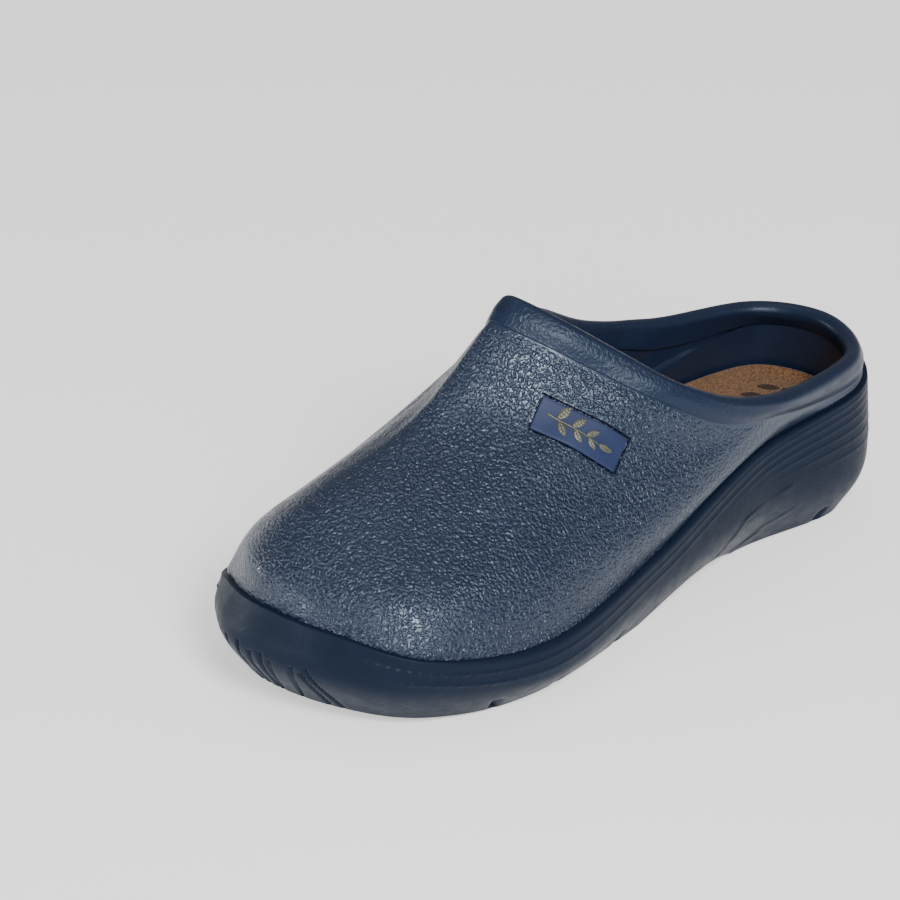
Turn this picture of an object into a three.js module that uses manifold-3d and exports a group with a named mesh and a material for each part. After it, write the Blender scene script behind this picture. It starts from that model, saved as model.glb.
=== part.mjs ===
// Rubber garden clog, left foot. Millimetres, +Z up, +X towards the toe,
// +Y towards the outer side of the foot. The clog stands on z = 0 under the
// middle of its outline.
import * as THREE from 'three';
import { mergeVertices } from 'three/addons/utils/BufferGeometryUtils.js';
import Module from 'manifold-3d';

const wasm = await Module();
wasm.setup();

// Overall sizes that the last's pattern is graded to.
const LENGTH = 271;
const WIDTH = 109;
const HEIGHT = 112;

// Sole unit and tread.
const TREAD_THICKNESS = 5;
const GROOVE_WIDTH = 4;
const GROOVE_DEPTH = 3.5;
const TREAD_PROUD = 0.6;
const TREAD_CLEARANCE = 0.5;
const SKIRT_WIDTH = 5;
const SHANK_RISE = 8;
const SHANK_RECESS = 1;
const RIM_WALL = 4;
const TOE_SPRING = 8;
const BALL_FLOOR = 13;
const HEEL_FLOOR = 32;
const TOE_FLOOR_RISE = 7;
const FLOOR_DISH = 2.5;

// Upper and its rolled collar.
const UPPER_WALL = 4;
const TUCK_WALL = 2;
const LIP_STEP = 1.2;
const COLLAR_HEIGHT = 12;
const COLLAR_WALL = 6.4;
const COLLAR_PROUD = 0.7;
const SHORTEST_STRIP = 2.6;

// Footbed.
const FOOTBED_BASE = 4;
const FOOTBED_COVER = 1.6;
const FOOTBED_CLEARANCE = 1;

// Badge on the outer side of the vamp.
const BADGE_LENGTH = 32.5;
const BADGE_WIDTH = 12.5;
const BADGE_THICKNESS = 1.2;
const BADGE_AROUND = 2.75;
const BADGE_UP = 0.78;
const BADGE_TURN = -17.5;
const LEAF_LENGTH = 17;
const LEAF_WIDTH = 7;
const LEAF_THICKNESS = 0.6;

// Gap between pieces that touch.
const GAP = 0.3;

// The last's pattern: rings of 14 points from the ground edge up to the rim.
// Each ring starts at the toe, runs back along the outer side, round the
// heel at its eighth point, and forward along the inner side.
const PATTERN = { length: 271, width: 109, height: 112 };
const GROUND_RING = [
  [260, -6], [252, 19], [231, 40], [189, 49], [132, 39], [74, 24], [23, 25],
  [8, 0], [19, -26], [66, -31], [130, -27], [195, -42], [239, -35], [254, -25],
];
const BULGE_RING = [
  [270, -7, 22], [261, 25, 22], [238, 47, 17], [190, 59, 12], [132, 47, 16],
  [69, 35, 21], [17, 32, 19], [-1, 2, 18], [16, -30, 18], [66, -37, 18],
  [128, -33, 20], [195, -50, 14], [244, -44, 17], [262, -30, 21],
];
const LIP_RING = [
  [264, -6, 37], [257, 24, 36], [235, 49, 29], [190, 58, 24], [133, 47, 30],
  [72, 34, 44], [19, 32, 52], [3, 3, 57], [18, -27, 56], [66, -33, 48],
  [129, -33, 34], [195, -49, 26], [243, -45, 28], [257, -30, 33],
];
const SHOULDER_RING = [
  [258, -8, 50], [248, 19, 49], [226, 40, 45], [186, 49, 43], [129, 46, 42],
  [67, 37, 53], [18, 29, 56], [5, 2, 60], [18, -25, 59], [66, -33, 54],
  [127, -33, 44], [190, -44, 46], [232, -39, 46], [249, -27, 49],
];
const VAMP_RING = [
  [235, -9, 65], [228, 6, 64], [209, 21, 61], [170, 32, 61], [120, 42, 53],
  [65, 38, 59], [19, 29, 59], [6, 2, 62], [20, -26, 61], [66, -33, 59],
  [119, -33, 53], [172, -34, 66], [213, -27, 63], [229, -20, 64],
];
const INSTEP_RING = [
  [192, -9, 80], [185, 1, 78], [171, 14, 75], [145, 28, 73], [106, 39, 62],
  [62, 39, 63], [20, 29, 62], [6, 2, 64], [21, -25, 63], [65, -34, 63],
  [106, -35, 63], [149, -34, 78], [174, -24, 79], [187, -16, 79],
];
const RIM_RING = [
  [148, -12, 112], [138, 6, 105], [124, 20, 94], [109, 34, 83], [88, 41, 73],
  [57, 41, 66], [20, 29, 65], [7, 2, 66], [23, -23, 66], [61, -34, 67],
  [91, -38, 74], [113, -39, 86], [131, -34, 95], [141, -22, 104],
];
const STATIONS = RIM_RING.length;

// Mesh fineness.
const STEPS_PER_STATION = 4;
const COLUMNS = STATIONS * STEPS_PER_STATION;
const UPPER_ROWS = 9;
const SIDE_ROWS = 5;
const STRIP_COLUMNS = 6;

// Along the length, as x on the pattern: flat tread, heel and floor breaks.
const BALL_END = 205;
const HEEL_ROLL = 14;
const HEEL_ROLL_RISE = 2;
const FLOOR_HEEL_END = 55;
const FLOOR_BALL_START = 190;
const FLOOR_TOE_START = 200;
const SHANK_FRONT = 134;
const SHANK_BACK = 74;
const FOREFOOT_STATION = 4;
const HEEL_STATION = 5;
const GROOVES_FOREFOOT = [148, 182, 209, 236];
const GROOVES_HEEL = [33, 54];

const gradeX = LENGTH / PATTERN.length;
const gradeY = WIDTH / PATTERN.width;
const gradeZ = HEIGHT / PATTERN.height;

const colours = {
  upper: new THREE.MeshStandardMaterial({ color: 0x1f2a3c, roughness: 0.45 }),
  collar: new THREE.MeshStandardMaterial({ color: 0x1d2940, roughness: 0.35 }),
  sole: new THREE.MeshStandardMaterial({ color: 0x1e2a3b, roughness: 0.6 }),
  tread: new THREE.MeshStandardMaterial({ color: 0x1b2535, roughness: 0.7 }),
  cork: new THREE.MeshStandardMaterial({ color: 0x8a6848, roughness: 0.9 }),
  suede: new THREE.MeshStandardMaterial({ color: 0x8c6b4f, roughness: 0.95 }),
  badge: new THREE.MeshStandardMaterial({ color: 0x24345f, roughness: 0.4 }),
  emblem: new THREE.MeshStandardMaterial({ color: 0x8b8d72, roughness: 0.5 }),
};

function smoothStep(t) {
  const s = THREE.MathUtils.clamp(t, 0, 1);
  return s * s * (3 - 2 * s);
}

// Height of the ground edge at x: level, with toe spring and a rolled heel.
function groundZ(x) {
  const toe = Math.max(0, (x / gradeX - BALL_END) / (PATTERN.length - BALL_END));
  const heel = Math.max(0, 1 - x / gradeX / HEEL_ROLL);
  return TOE_SPRING * toe ** 1.6 + HEEL_ROLL_RISE * heel ** 2;
}

// Height of the floor under the footbed; across runs from -1 to 1.
function floorZ(x, across) {
  const px = x / gradeX;
  const fall = (FLOOR_BALL_START - px) / (FLOOR_BALL_START - FLOOR_HEEL_END);
  const toe = Math.max(0, (px - FLOOR_TOE_START) / (PATTERN.length - FLOOR_TOE_START));
  const along = BALL_FLOOR + (HEEL_FLOOR - BALL_FLOOR) * smoothStep(fall);
  return along + TOE_FLOOR_RISE * toe ** 1.5 + FLOOR_DISH * Math.abs(across) ** 3;
}

// How far the sole's lower edge is raised between the two treads.
function shankRise(x) {
  const middle = (x / gradeX - SHANK_BACK) / (SHANK_FRONT - SHANK_BACK);
  return middle > 0 && middle < 1 ? SHANK_RISE * Math.sin(Math.PI * middle) : 0;
}

function ringPoints(points) {
  const graded = points.map(([x, y, z = 0]) => (
    new THREE.Vector3(x * gradeX, y * gradeY, z * gradeZ)));
  const curve = new THREE.CatmullRomCurve3(graded, true, 'catmullrom', 0.5);
  return Array.from({ length: COLUMNS }, (_, i) => curve.getPoint(i / COLUMNS));
}

// Moves a ring inwards in plan by a distance, keeping its heights.
function insetPlan(ring, distance) {
  return ring.map((point, i) => {
    const ahead = ring[(i + 1) % ring.length];
    const behind = ring[(i + ring.length - 1) % ring.length];
    const along = new THREE.Vector2(ahead.x - behind.x, ahead.y - behind.y).normalize();
    return new THREE.Vector3(point.x - along.y * distance, point.y + along.x * distance, point.z);
  });
}

function lifted(ring, rise) {
  return ring.map((point) => new THREE.Vector3(point.x, point.y, point.z + rise));
}

// A ring paired across the foot: rows of points from the outer to the inner
// side, with one point at the toe and one at the heel.
function stripRows(ring, height) {
  const half = COLUMNS / 2;
  const rows = [];
  for (let i = 0; i <= half; i += 1) {
    const left = ring[i];
    const right = ring[(COLUMNS - i) % COLUMNS];
    const row = [];
    for (let j = 0; j <= STRIP_COLUMNS; j += 1) {
      const t = j / STRIP_COLUMNS;
      const point = left.clone().lerp(right, t);
      if (j > 0 && j < STRIP_COLUMNS) point.z = height(point, 1 - 2 * t);
      row.push(j === 0 ? left : j === STRIP_COLUMNS ? right : point);
    }
    rows.push(i === 0 || i === half ? row.map(() => left) : row);
  }
  return rows;
}

// Collects quads and triangles and closes them into one outward-facing mesh.
class Surface {
  constructor() {
    this.positions = [];
  }

  triangle(a, b, c) {
    if (a.equals(b) || b.equals(c) || c.equals(a)) return;
    for (const p of [a, b, c]) this.positions.push(p.x, p.y, p.z);
  }

  quad(a, b, c, d) {
    this.triangle(a, b, c);
    this.triangle(a, c, d);
  }

  // Rings stacked one on the next, each closed on itself.
  rings(list) {
    for (let k = 0; k + 1 < list.length; k += 1) {
      const low = list[k];
      const high = list[k + 1];
      for (let i = 0; i < low.length; i += 1) {
        const n = (i + 1) % low.length;
        this.quad(low[i], low[n], high[n], high[i]);
      }
    }
  }

  // A grid facing down or up, split along the same diagonals either way.
  rows(list, upwards) {
    for (let i = 0; i + 1 < list.length; i += 1) {
      for (let j = 0; j + 1 < list[i].length; j += 1) {
        const [a, b] = [list[i][j], list[i][j + 1]];
        const [d, c] = [list[i + 1][j], list[i + 1][j + 1]];
        if (upwards) {
          this.triangle(a, c, b);
          this.triangle(a, d, c);
        } else {
          this.quad(a, b, c, d);
        }
      }
    }
  }

  // A slab between grids laid one above the other.
  slab(grids) {
    this.rows(grids[0], false);
    this.rows(grids[grids.length - 1], true);
    this.rings(grids.map(gridEdge));
  }

  geometry() {
    const loose = new THREE.BufferGeometry();
    loose.setAttribute('position', new THREE.Float32BufferAttribute(this.positions, 3));
    const merged = mergeVertices(loose, 1e-3);
    if (volumeOf(merged) < 0) {
      const index = merged.getIndex().array;
      for (let i = 0; i < index.length; i += 3) {
        [index[i + 1], index[i + 2]] = [index[i + 2], index[i + 1]];
      }
    }
    return merged;
  }
}

// The points round a grid's edge.
function gridEdge(rows) {
  const inside = rows.slice(1, -1);
  return [
    ...rows.slice(0, -1).map((row) => row[0]),
    ...rows[rows.length - 1],
    ...inside.reverse().map((row) => row[row.length - 1]),
    ...[...rows[0]].reverse().slice(0, -1),
  ];
}

function volumeOf(geometry) {
  const position = geometry.getAttribute('position');
  const index = geometry.getIndex().array;
  const [a, b, c] = [new THREE.Vector3(), new THREE.Vector3(), new THREE.Vector3()];
  let total = 0;
  for (let i = 0; i < index.length; i += 3) {
    a.fromBufferAttribute(position, index[i]);
    b.fromBufferAttribute(position, index[i + 1]);
    c.fromBufferAttribute(position, index[i + 2]);
    total += a.dot(b.cross(c)) / 6;
  }
  return total;
}

function asMesh(name, geometry, material) {
  geometry.computeVertexNormals();
  const mesh = new THREE.Mesh(geometry, material);
  mesh.name = name;
  return mesh;
}

function toSolid(geometry) {
  return new wasm.Manifold(new wasm.Mesh({
    numProp: 3,
    vertProperties: new Float32Array(geometry.getAttribute('position').array),
    triVerts: new Uint32Array(geometry.getIndex().array),
  }));
}

function fromSolid(solid) {
  const result = solid.getMesh();
  const geometry = new THREE.BufferGeometry();
  geometry.setAttribute('position', new THREE.BufferAttribute(result.vertProperties, 3));
  geometry.setIndex(new THREE.BufferAttribute(result.triVerts, 1));
  return geometry;
}

// The rings of the last, ground edge to rim.
const ground = ringPoints(GROUND_RING).map((point) => (
  new THREE.Vector3(point.x, point.y, groundZ(point.x))));
const bulge = ringPoints(BULGE_RING);
const lip = ringPoints(LIP_RING);
const shoulder = ringPoints(SHOULDER_RING);
const vamp = ringPoints(VAMP_RING);
const instep = ringPoints(INSTEP_RING);
const rim = ringPoints(RIM_RING);

// One curve up the sole's side, and one up the upper, at each column.
const sideCurves = ground.map((point, i) => (
  new THREE.CatmullRomCurve3([point, bulge[i], lip[i]], false, 'catmullrom', 0.5)));
const upperFoot = lifted(insetPlan(lip, LIP_STEP), GAP);
const upperCurves = upperFoot.map((point, i) => (
  new THREE.CatmullRomCurve3(
    [point, shoulder[i], vamp[i], instep[i], rim[i]], false, 'catmullrom', 0.5)));

// The side point that stands a given height above the ground edge.
function sideAtRise(i, rise) {
  const target = ground[i].z + rise;
  let low = 0;
  let high = 1;
  for (let step = 0; step < 30; step += 1) {
    const middle = (low + high) / 2;
    if (sideCurves[i].getPoint(middle).z < target) low = middle;
    else high = middle;
  }
  return { t: high, point: sideCurves[i].getPoint(high) };
}

// The cup: a skirt round the treads, the sidewall, the lip and the floor.
function soleUnit() {
  const feet = ground.map((point, i) => (
    sideAtRise(i, TREAD_PROUD + shankRise(point.x))));
  const sides = [];
  for (let k = 0; k <= SIDE_ROWS; k += 1) {
    sides.push(feet.map(({ t }, i) => (
      sideCurves[i].getPoint(t + (1 - t) * (k / SIDE_ROWS)))));
  }
  const skirt = insetPlan(sides[0], SKIRT_WIDTH);
  const ceilingZ = (point) => groundZ(point.x)
    + Math.max(TREAD_THICKNESS, shankRise(point.x) + TREAD_PROUD + SHANK_RECESS);
  const ceiling = skirt.map((point) => (
    new THREE.Vector3(point.x, point.y, ceilingZ(point))));
  const rings = [ceiling, skirt, ...sides];
  const inner = insetPlan(lip, RIM_WALL);
  const floor = inner.map((point) => (
    new THREE.Vector3(point.x, point.y, floorZ(point.x, 1))));
  rings.push(inner, floor);
  const surface = new Surface();
  surface.rings(rings);
  surface.rows(stripRows(ceiling, ceilingZ), false);
  surface.rows(stripRows(floor, (point, across) => floorZ(point.x, across)), true);
  return asMesh('sole_unit', surface.geometry(), colours.sole);
}

// A bar across the foot that cuts one tread groove, bent to a shallow chevron.
function grooveBar(x) {
  const reach = WIDTH;
  const bend = 6;
  const half = GROOVE_WIDTH / 2;
  const outline = new THREE.Shape([
    new THREE.Vector2(x - half, -reach),
    new THREE.Vector2(x + half, -reach),
    new THREE.Vector2(x + half + bend, 0),
    new THREE.Vector2(x + half, reach),
    new THREE.Vector2(x - half, reach),
    new THREE.Vector2(x - half + bend, 0),
  ]);
  const depth = GROOVE_DEPTH + TREAD_THICKNESS;
  const bar = new THREE.ExtrudeGeometry(outline, { depth, bevelEnabled: false });
  bar.deleteAttribute('normal');
  bar.deleteAttribute('uv');
  bar.translate(0, 0, groundZ(x) - TREAD_THICKNESS);
  return toSolid(mergeVertices(bar));
}

// A tread pad inside the skirt, from one station of the last to another.
function treadPad(name, firstStation, lastStation, grooves) {
  const first = firstStation * STEPS_PER_STATION;
  const last = lastStation * STEPS_PER_STATION;
  const outline = insetPlan(ground, SKIRT_WIDTH + TREAD_CLEARANCE);
  const grid = (rise) => {
    const at = (point) => groundZ(point.x) + rise;
    const ring = outline.map((point) => new THREE.Vector3(point.x, point.y, at(point)));
    return stripRows(ring, at).slice(first, last + 1);
  };
  const surface = new Surface();
  surface.slab([grid(0), grid(TREAD_THICKNESS - GAP)]);
  let solid = toSolid(surface.geometry());
  for (const x of grooves) solid = solid.subtract(grooveBar(x * gradeX));
  return asMesh(name, fromSolid(solid), colours.tread);
}

// Each column's collar: how tall it stands and where its seat is.
const seats = upperCurves.map((curve) => {
  const length = curve.getLength();
  const tall = Math.min(COLLAR_HEIGHT, length - SHORTEST_STRIP);
  return { tall, at: 1 - tall / length };
});

// The upper's outer surface, in rows from the lip to the collar's seat.
const outerRows = Array.from({ length: UPPER_ROWS + 1 }, (_, k) => (
  upperCurves.map((curve, i) => curve.getPointAt(seats[i].at * (k / UPPER_ROWS)))));

function surfaceNormal(k, i) {
  const around = outerRows[k][(i + 1) % COLUMNS].clone();
  around.sub(outerRows[k][(i + COLUMNS - 1) % COLUMNS]);
  const up = upperCurves[i].getTangentAt(seats[i].at * (k / UPPER_ROWS));
  return around.cross(up).normalize();
}
const normals = outerRows.map((row, k) => row.map((_, i) => surfaceNormal(k, i)));

// At the seat the wall is square to the collar that stands on it.
const collarUp = rim.map((point, i) => point.clone().sub(outerRows[UPPER_ROWS][i]).normalize());
normals[UPPER_ROWS].forEach((out, i) => {
  out.addScaledVector(collarUp[i], -out.dot(collarUp[i])).normalize();
});

// Lowers a point that would stand above the collar's seat.
function underSeat(point, i) {
  const above = point.clone().sub(outerRows[UPPER_ROWS][i]).dot(collarUp[i]);
  return point.clone().addScaledVector(collarUp[i], -Math.max(0, above));
}

function upperShell() {
  const innerRows = outerRows.slice(1).map((row, k) => (
    row.map((point, i) => (
      underSeat(point.clone().addScaledVector(normals[k + 1][i], -UPPER_WALL), i)))));
  const tuckOuter = lifted(insetPlan(lip, RIM_WALL + GAP), GAP);
  const tuckInner = insetPlan(lip, RIM_WALL + GAP + TUCK_WALL).map(underSeat);
  const down = (ring) => ring.map((point) => (
    new THREE.Vector3(point.x, point.y, floorZ(point.x, 1) + GAP)));
  const rings = [...outerRows, ...innerRows.reverse(), tuckInner, down(tuckInner),
    down(tuckOuter), tuckOuter, outerRows[0]];
  const surface = new Surface();
  surface.rings(rings);
  return asMesh('upper', surface.geometry(), colours.upper);
}

// The rolled band: flat seat, bulging outer face and a half-round top.
function collarRoll() {
  const radius = COLLAR_WALL / 2;
  const arcSteps = 4;
  const section = (tall) => {
    const points = [[GAP, COLLAR_PROUD], [tall * 0.4, COLLAR_PROUD + 0.3]];
    for (let step = 0; step <= arcSteps; step += 1) {
      const angle = (Math.PI * step) / arcSteps;
      points.push([
        tall - radius + radius * Math.sin(angle),
        COLLAR_PROUD - radius + radius * Math.cos(angle),
      ]);
    }
    const seat = [COLLAR_PROUD - COLLAR_WALL, -UPPER_WALL, 0, COLLAR_PROUD];
    points.push(...seat.map((out) => [GAP, out]));
    return points.reverse();
  };
  const columns = seats.map(({ tall }, i) => {
    const base = outerRows[UPPER_ROWS][i];
    const up = collarUp[i];
    const out = normals[UPPER_ROWS][i];
    const reach = rim[i].distanceTo(base);
    return section(Math.min(tall, reach)).map(([s, o]) => (
      base.clone().addScaledVector(up, s).addScaledVector(out, o)));
  });
  const rings = columns[0].map((_, k) => columns.map((column) => column[k]));
  const surface = new Surface();
  surface.rings(rings);
  return asMesh('collar_roll', surface.geometry(), colours.collar);
}

// One layer of the footbed between two heights above the floor.
function footbedLayer(name, from, to, material) {
  const outline = insetPlan(lip, RIM_WALL + GAP + TUCK_WALL + FOOTBED_CLEARANCE);
  const at = (rise) => outline.map((point) => (
    new THREE.Vector3(point.x, point.y, floorZ(point.x, 1) + rise)));
  const rows = (rise) => stripRows(at(rise), (point, across) => floorZ(point.x, across) + rise);
  const surface = new Surface();
  surface.rings([at(from), at(to)]);
  surface.rows(rows(from), false);
  surface.rows(rows(to), true);
  return asMesh(name, surface.geometry(), material);
}

// A patch of the vamp where the badge sits, with local directions in mm.
function badgeFrame(upper) {
  const i = Math.round(BADGE_AROUND * STEPS_PER_STATION);
  const k = Math.round(BADGE_UP * UPPER_ROWS);
  const out = normals[k][i];
  const along = outerRows[k][i + 1].clone().sub(outerRows[k][i - 1]);
  along.addScaledVector(out, -along.dot(out)).normalize();
  along.applyAxisAngle(out, THREE.MathUtils.degToRad(BADGE_TURN));
  const up = out.clone().cross(along);
  const caster = new THREE.Raycaster();
  const reach = 60;
  return (p, q, rise) => {
    const from = outerRows[k][i].clone();
    from.addScaledVector(along, p).addScaledVector(up, q).addScaledVector(out, reach);
    caster.set(from, out.clone().negate());
    const hit = caster.intersectObject(upper)[0];
    return hit.point.clone().addScaledVector(out, rise);
  };
}

// The badge's plate, bent to the vamp.
function badgePlate(frame, from, to) {
  const lengthSteps = 8;
  const widthSteps = 4;
  const grid = (rise) => Array.from({ length: lengthSteps + 1 }, (_, i) => (
    Array.from({ length: widthSteps + 1 }, (__, j) => frame(
      BADGE_LENGTH * (i / lengthSteps - 0.5),
      BADGE_WIDTH * (j / widthSteps - 0.5),
      rise,
    ))));
  const surface = new Surface();
  surface.slab([grid(from), grid(to)]);
  return asMesh('badge_plate', surface.geometry(), colours.badge);
}

// A raised leaf on the plate, pointed at both ends and bent like it.
function badgeEmblem(frame, from, to) {
  const lengthSteps = 12;
  const widthSteps = 4;
  const halfWidth = (i) => (
    i % lengthSteps === 0 ? 0 : (LEAF_WIDTH / 2) * Math.sin((Math.PI * i) / lengthSteps));
  const grid = (rise) => Array.from({ length: lengthSteps + 1 }, (_, i) => (
    Array.from({ length: widthSteps + 1 }, (__, j) => frame(
      LEAF_LENGTH * (i / lengthSteps - 0.5),
      halfWidth(i) * ((2 * j) / widthSteps - 1),
      rise,
    ))));
  const surface = new Surface();
  surface.slab([grid(from), grid(to)]);
  return asMesh('badge_emblem', surface.geometry(), colours.emblem);
}

const clog = new THREE.Group();
const upper = upperShell();
const badge = badgeFrame(upper);
const plateTop = GAP + BADGE_THICKNESS;
const coverBottom = GAP + FOOTBED_BASE + GAP;
clog.add(
  soleUnit(),
  treadPad('outsole_forefoot', 0, FOREFOOT_STATION, GROOVES_FOREFOOT),
  treadPad('outsole_heel', HEEL_STATION, STATIONS / 2, GROOVES_HEEL),
  upper,
  collarRoll(),
  footbedLayer('footbed_base', GAP, GAP + FOOTBED_BASE, colours.cork),
  footbedLayer('footbed_cover', coverBottom, coverBottom + FOOTBED_COVER, colours.suede),
  badgePlate(badge, GAP, plateTop),
  badgeEmblem(badge, plateTop + GAP, plateTop + GAP + LEAF_THICKNESS),
);

// Stand the clog on z = 0 over the middle of its outline.
const box = new THREE.Box3().setFromObject(clog, true);
clog.position.set(-(box.min.x + box.max.x) / 2, -(box.min.y + box.max.y) / 2, -box.min.z);
clog.updateMatrixWorld(true);

export default clog;
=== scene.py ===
# Rubber garden clog, left foot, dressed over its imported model. Metres, +X towards the toe,
# +Y towards the outer side, +Z up. The shapes are worked out in millimetres on the shoe's
# last and scaled once, when each piece is placed.
import math

import bpy
import numpy as np
from mathutils import Matrix, Vector
from mathutils.bvhtree import BVHTree


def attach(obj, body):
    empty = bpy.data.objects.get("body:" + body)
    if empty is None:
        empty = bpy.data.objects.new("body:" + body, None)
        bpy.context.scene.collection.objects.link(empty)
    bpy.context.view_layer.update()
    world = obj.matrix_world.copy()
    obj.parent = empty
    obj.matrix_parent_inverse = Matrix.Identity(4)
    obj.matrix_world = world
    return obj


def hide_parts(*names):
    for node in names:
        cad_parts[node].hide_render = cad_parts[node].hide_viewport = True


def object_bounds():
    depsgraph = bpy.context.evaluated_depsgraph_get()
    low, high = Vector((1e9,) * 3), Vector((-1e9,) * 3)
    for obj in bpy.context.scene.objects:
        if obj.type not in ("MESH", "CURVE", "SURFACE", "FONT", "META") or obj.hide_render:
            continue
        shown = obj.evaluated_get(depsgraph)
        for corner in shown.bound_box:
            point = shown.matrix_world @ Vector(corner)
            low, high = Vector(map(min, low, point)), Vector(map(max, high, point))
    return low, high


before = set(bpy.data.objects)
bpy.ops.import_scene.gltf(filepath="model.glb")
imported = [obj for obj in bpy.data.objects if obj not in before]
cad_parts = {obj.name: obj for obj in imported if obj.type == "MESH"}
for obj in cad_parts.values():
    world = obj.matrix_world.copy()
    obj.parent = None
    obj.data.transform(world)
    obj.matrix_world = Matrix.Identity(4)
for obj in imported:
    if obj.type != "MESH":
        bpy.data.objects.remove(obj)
cad_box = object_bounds()

MM = 0.001

# ---------------------------------------------------------------- the last
# Rings of 14 stations: toe first, back along the outer side, round the heel, forward again.
GROUND = [(260, -6), (252, 19), (231, 40), (189, 49), (132, 39), (74, 24), (23, 25),
          (8, 0), (19, -26), (66, -31), (130, -27), (195, -42), (239, -35), (254, -25)]
BULGE = [(270, -7, 22), (261, 25, 22), (238, 47, 17), (190, 59, 12), (132, 47, 16),
         (69, 35, 21), (17, 32, 19), (-1, 2, 18), (16, -30, 18), (66, -37, 18),
         (128, -33, 20), (195, -50, 14), (244, -44, 17), (262, -30, 21)]
LIP = [(264, -6, 37), (257, 24, 36), (235, 49, 29), (190, 58, 24), (133, 47, 30),
       (72, 34, 44), (19, 32, 52), (3, 3, 57), (18, -27, 56), (66, -33, 48),
       (129, -33, 34), (195, -49, 26), (243, -45, 28), (257, -30, 33)]
SHOULDER = [(258, -8, 50), (248, 19, 49), (226, 40, 45), (186, 49, 43), (129, 46, 42),
            (67, 37, 53), (18, 29, 56), (5, 2, 60), (18, -25, 59), (66, -33, 54),
            (127, -33, 44), (190, -44, 46), (232, -39, 46), (249, -27, 49)]
VAMP = [(235, -9, 65), (228, 6, 64), (209, 21, 61), (170, 32, 61), (120, 42, 53),
        (65, 38, 59), (19, 29, 59), (6, 2, 62), (20, -26, 61), (66, -33, 59),
        (119, -33, 53), (172, -34, 66), (213, -27, 63), (229, -20, 64)]
INSTEP = [(192, -9, 80), (185, 1, 78), (171, 14, 75), (145, 28, 73), (106, 39, 62),
          (62, 39, 63), (20, 29, 62), (6, 2, 64), (21, -25, 63), (65, -34, 63),
          (106, -35, 63), (149, -34, 78), (174, -24, 79), (187, -16, 79)]
RIM = [(148, -12, 112), (138, 6, 105), (124, 20, 94), (109, 34, 83), (88, 41, 73),
       (57, 41, 66), (20, 29, 65), (7, 2, 66), (23, -23, 66), (61, -34, 67),
       (91, -38, 74), (113, -39, 86), (131, -34, 95), (141, -22, 104)]
STATIONS = 14
LAST_LENGTH = 271

TREAD_THICKNESS = 5
TREAD_PROUD = 0.6
SKIRT_WIDTH = 5
SHANK_RISE = 8
SHANK_RECESS = 1
SHANK_FRONT = 134
SHANK_BACK = 74
RIM_WALL = 4
UPPER_WALL = 4
TUCK_WALL = 2
LIP_STEP = 1.2
COLLAR_HEIGHT = 12
COLLAR_WALL = 6.4
COLLAR_PROUD = 0.7
COLLAR_BLEND = 3
VISIBLE_STRIP = 1.0
FOOTBED_BASE = 4
FOOTBED_COVER = 1.6
FOOTBED_CLEARANCE = 1
GAP = 0.3

# The ground line: how far the toe and the heel spring up, and where that begins.
TOE_SPRING = 8
TOE_SPRING_FROM = 205
HEEL_SPRING = 2
HEEL_SPRING_REACH = 14
# The floor of the cup: its height at the ball, the climb to the heel and the rise at the toe.
FLOOR_LOW = 13
FLOOR_CLIMB = 19
CLIMB_FROM = 190
CLIMB_LENGTH = 135
FLOOR_TOE_RISE = 7
FLOOR_TOE_FROM = 200
FLOOR_EDGE_RISE = 2.5

SOLE_COLUMNS = 560
UPPER_COLUMNS = 448
UPPER_STEPS = 96


def spline_weights(t):
    """Catmull-Rom weights of the four points around each t."""
    return np.stack([-t + 2 * t**2 - t**3, 2 - 5 * t**2 + 3 * t**3,
                     t + 4 * t**2 - 3 * t**3, -t**2 + t**3]) / 2


def closed_values(values, at):
    """A smooth closed curve through one value per station, read at the stations in at."""
    values = np.asarray(values, float)
    step = np.floor(at).astype(int)
    weights = spline_weights(at - step)
    picks = [values[(step + k) % len(values)] for k in (-1, 0, 1, 2)]
    return sum(w[(...,) + (None,) * (values.ndim - 1)] * p for w, p in zip(weights, picks))


def open_curve(knots, t):
    """A smooth curve across the rings in knots; t has one row of values per step."""
    knots = [2 * knots[0] - knots[1], *knots, 2 * knots[-1] - knots[-2]]
    spans = len(knots) - 3
    at = np.clip(t, 0, 1) * spans
    step = np.minimum(np.floor(at).astype(int), spans - 1)
    weights = spline_weights(at - step)
    stack = np.stack(knots)
    column = np.arange(stack.shape[1])
    return sum(weights[k][..., None] * stack[step + k, column] for k in range(4))


def smooth_step(t):
    t = np.clip(t, 0, 1)
    return t * t * (3 - 2 * t)


def soft_minimum(a, b, blend):
    """The smaller of two values, rounded over where they meet."""
    return (a + b - np.sqrt((a - b)**2 + blend**2)) / 2


def ground_height(x):
    """Height of the sole's lower edge at a distance from the heel."""
    toe = np.maximum(0, (x - TOE_SPRING_FROM) / (LAST_LENGTH - TOE_SPRING_FROM))
    heel = np.maximum(0, 1 - x / HEEL_SPRING_REACH)
    return TOE_SPRING * toe**1.6 + HEEL_SPRING * heel**2


def floor_height(x, across):
    """Height of the cup's floor: across is 0 on the middle line and 1 at the wall."""
    toe = np.maximum(0, (x - FLOOR_TOE_FROM) / (LAST_LENGTH - FLOOR_TOE_FROM))
    along = FLOOR_LOW + FLOOR_CLIMB * smooth_step((CLIMB_FROM - x) / CLIMB_LENGTH)
    return along + FLOOR_TOE_RISE * toe**1.5 + FLOOR_EDGE_RISE * np.abs(across)**3


def shank_rise(x):
    """How far the waist arches up between the two treads."""
    middle = (x - SHANK_BACK) / (SHANK_FRONT - SHANK_BACK)
    return np.where((middle > 0) & (middle < 1), SHANK_RISE * np.sin(np.pi * middle), 0)


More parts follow.
